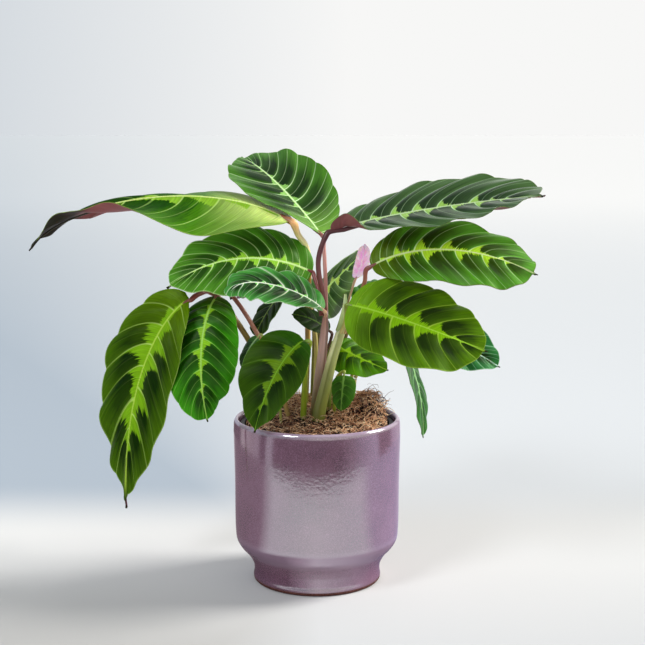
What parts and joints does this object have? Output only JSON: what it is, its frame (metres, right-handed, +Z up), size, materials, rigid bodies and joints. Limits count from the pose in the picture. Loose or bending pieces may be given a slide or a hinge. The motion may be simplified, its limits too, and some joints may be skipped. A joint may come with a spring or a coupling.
{
  "type": "potted calathea",
  "caption": "Leafy house plant with patterned oval leaves on thin stalks, growing from fibrous mulch in a round glazed ceramic pot.",
  "frame": {"origin": "centre of the underside of the cover pot's foot", "axes": "+Z up along the pot's axis, +Y away from the viewer of the picture, +X to the viewer's right"},
  "size_m": [0.416, 0.2197, 0.3604],
  "materials": {
    "glaze": "gloss",
    "black_plastic": "satin",
    "coir": "rough",
    "leaf": "satin",
    "young_leaf": "satin",
    "stalk": "satin"
  },
  "bodies": {
    "root": {"cover_pot": "glaze", "nursery_pot": "black_plastic", "coir_mulch": "coir", "shoot_centre": "stalk", "shoot_right": "stalk", "shoot_back_right": "stalk", "rolled_leaf": "stalk", "stalk_top": "stalk", "stalk_far_left": "stalk", "stalk_far_right": "stalk", "stalk_right_upper": "stalk", "stalk_right_big": "stalk", "stalk_left_mid": "stalk", "stalk_left_small": "stalk", "stalk_hang_left": "stalk", "stalk_hang_left_inner": "stalk", "stalk_front_low": "stalk", "stalk_right_low": "stalk", "stalk_tiny_front": "stalk", "stalk_back_right": "stalk", "stalk_hang_right": "stalk", "stalk_centre_back": "stalk", "stalk_back_left": "stalk", "stalk_inner_dark": "stalk", "stalk_young_pink": "stalk", "stalk_low_left_curl": "stalk", "stalk_rear_left": "stalk", "stalk_rear_right": "stalk", "leaf_top": "leaf", "leaf_far_left": "leaf", "leaf_far_right": "leaf", "leaf_right_upper": "leaf", "leaf_right_big": "leaf", "leaf_left_mid": "leaf", "leaf_left_small": "leaf", "leaf_hang_left": "leaf", "leaf_hang_left_inner": "leaf", "leaf_front_low": "leaf", "leaf_right_low": "leaf", "leaf_tiny_front": "leaf", "leaf_back_right": "leaf", "leaf_hang_right": "leaf", "leaf_centre_back": "leaf", "leaf_back_left": "leaf", "leaf_inner_dark": "leaf", "leaf_young_pink": "young_leaf", "leaf_low_left_curl": "leaf", "leaf_rear_left": "leaf", "leaf_rear_right": "leaf"}
  },
  "joints": []
}
